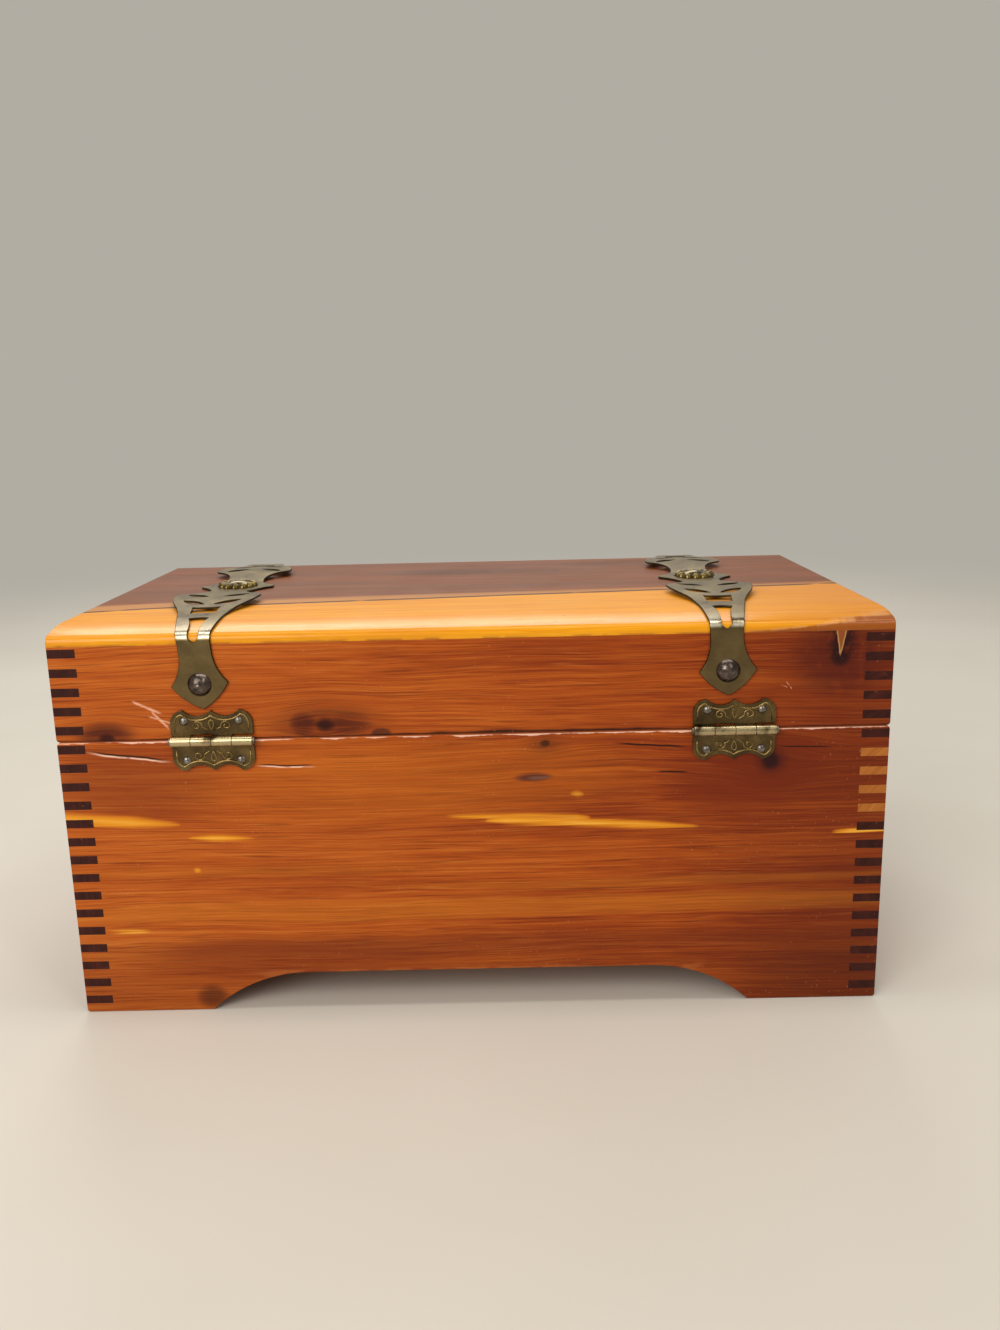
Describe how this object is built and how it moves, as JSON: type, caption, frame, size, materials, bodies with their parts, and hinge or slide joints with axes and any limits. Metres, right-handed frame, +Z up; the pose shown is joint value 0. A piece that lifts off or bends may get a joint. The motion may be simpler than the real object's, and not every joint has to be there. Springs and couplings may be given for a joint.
{
  "type": "wooden jewelry box",
  "caption": "Finger-jointed cedar jewelry box on bracket feet, with a hinged rolled-edge lid, pierced brass straps with rosettes, scalloped hinges and a swing hook.",
  "frame": {"origin": "middle of the box's footprint, on the surface that its feet stand on", "axes": "+X to the box's right as seen from its front, -Y towards its front, +Y towards its hinges, +Z up"},
  "size_m": [0.254, 0.1566, 0.1291],
  "materials": {
    "cedar_side": "varnished red cedar heartwood with a long grain",
    "cedar_end": "varnished red cedar, darker at its end-grain fingers",
    "cedar_panel": "unfinished red cedar",
    "cedar_top": "varnished red cedar with a pale sapwood edge",
    "strap_brass": "dull antique brass sheet",
    "rosette_brass": "worn antique brass",
    "strap_nail_metal": "dark bronzed steel",
    "hinge_brass": "stamped antique brass, dark in its hollows",
    "pin_steel": "tarnished steel wire",
    "hinge_nail_steel": "grey steel",
    "catch_brass": "worn brass"
  },
  "bodies": {
    "box": {"box_back": "cedar_side", "box_front": "cedar_side", "box_left_end": "cedar_end", "box_right_end": "cedar_end", "box_bottom": "cedar_panel", "left_hinge_box_leaf": "hinge_brass", "left_hinge_pin": "pin_steel", "left_hinge_box_nails": "hinge_nail_steel", "right_hinge_box_leaf": "hinge_brass", "right_hinge_pin": "pin_steel", "right_hinge_box_nails": "hinge_nail_steel", "catch_pivot": "catch_brass"},
    "lid": {"lid_top": "cedar_top", "lid_back": "cedar_side", "lid_front": "cedar_side", "lid_left_end": "cedar_end", "lid_right_end": "cedar_end", "left_strap": "strap_brass", "right_strap": "strap_brass", "left_rosette": "rosette_brass", "right_rosette": "rosette_brass", "left_strap_nails": "strap_nail_metal", "right_strap_nails": "strap_nail_metal", "left_hinge_lid_leaf": "hinge_brass", "left_hinge_lid_nails": "hinge_nail_steel", "right_hinge_lid_leaf": "hinge_brass", "right_hinge_lid_nails": "hinge_nail_steel", "catch_stud": "catch_brass"},
    "hook": {"catch_hook": "catch_brass"}
  },
  "joints": [
    {"name": "lid_hinge", "type": "hinge", "parent": "box", "child": "lid", "pos_m": [0, 0.0768, 0.0908], "axis": [-1, 0, 0], "range_deg": [0, 170]},
    {"name": "hook_swing", "type": "hinge", "parent": "box", "child": "hook", "pos_m": [0, -0.0759, 0.0828], "axis": [0, 1, 0], "range_deg": [-150, 192]}
  ]
}
